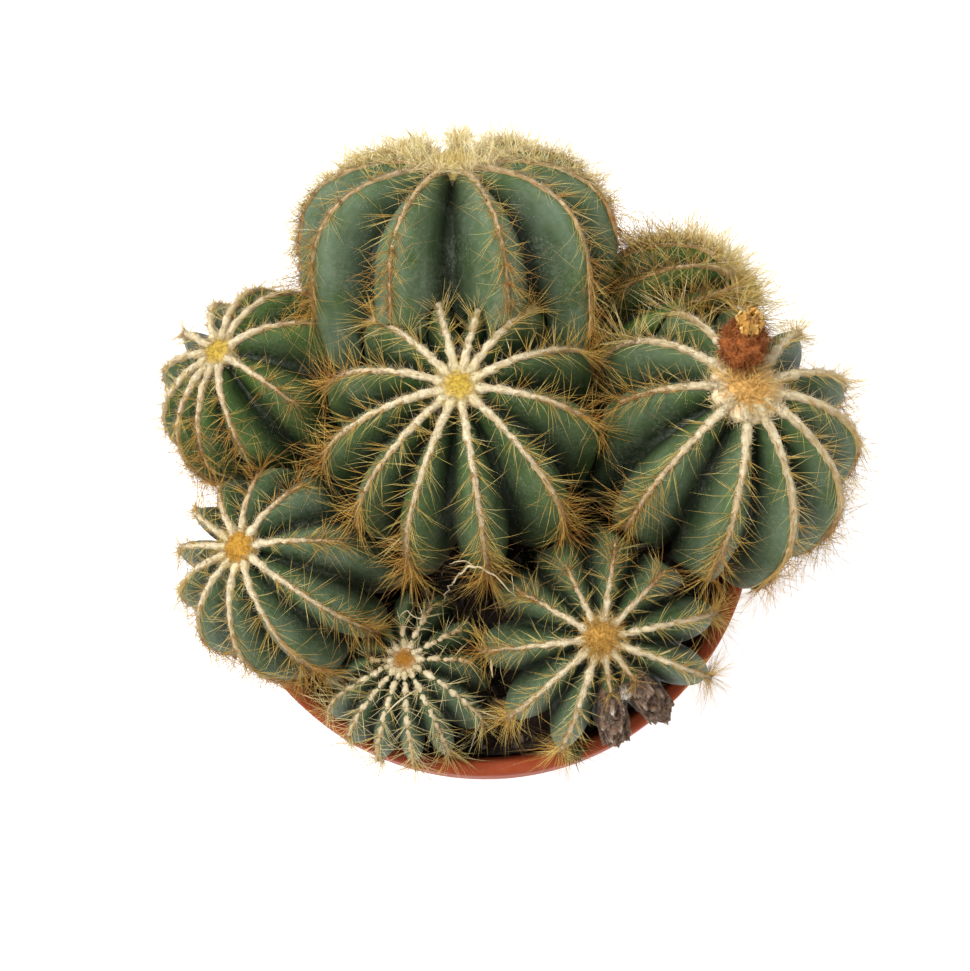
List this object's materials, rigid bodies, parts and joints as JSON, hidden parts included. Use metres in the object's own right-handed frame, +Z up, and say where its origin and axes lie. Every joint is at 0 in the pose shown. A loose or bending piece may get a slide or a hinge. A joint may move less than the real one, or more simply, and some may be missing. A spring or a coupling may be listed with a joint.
{
  "type": "potted cactus",
  "caption": "Clump of round, ribbed cactus heads with woolly crests and fine golden spines, grown over the rim of a small tapered pot.",
  "frame": {"origin": "centre of the pot's flat underside", "axes": "+Z up along the pot's axis; -Y towards the side with the small head and the corky ribs; +X towards the head with the fruit"},
  "size_m": [0.1885, 0.1732, 0.1865],
  "materials": {
    "pot_plastic": "matte",
    "soil": "matte",
    "flesh": "satin",
    "felt_and_spines": "matte",
    "fruit_skin": "matte",
    "withered_petals": "matte",
    "cork": "matte"
  },
  "bodies": {
    "root": {"pot": "pot_plastic", "soil": "soil", "middle_head": "flesh", "middle_felt_and_spines": "felt_and_spines", "back_head": "flesh", "back_felt_and_spines": "felt_and_spines", "right_head": "flesh", "right_felt_and_spines": "felt_and_spines", "far_head": "flesh", "far_felt_and_spines": "felt_and_spines", "left_head": "flesh", "left_felt_and_spines": "felt_and_spines", "lower_left_head": "flesh", "lower_left_felt_and_spines": "felt_and_spines", "small_head": "flesh", "small_felt_and_spines": "felt_and_spines", "lower_right_head": "flesh", "lower_right_felt_and_spines": "felt_and_spines", "fruit": "fruit_skin", "withered_flower": "withered_petals", "cork_crust_1": "cork", "cork_crust_2": "cork"}
  },
  "joints": []
}
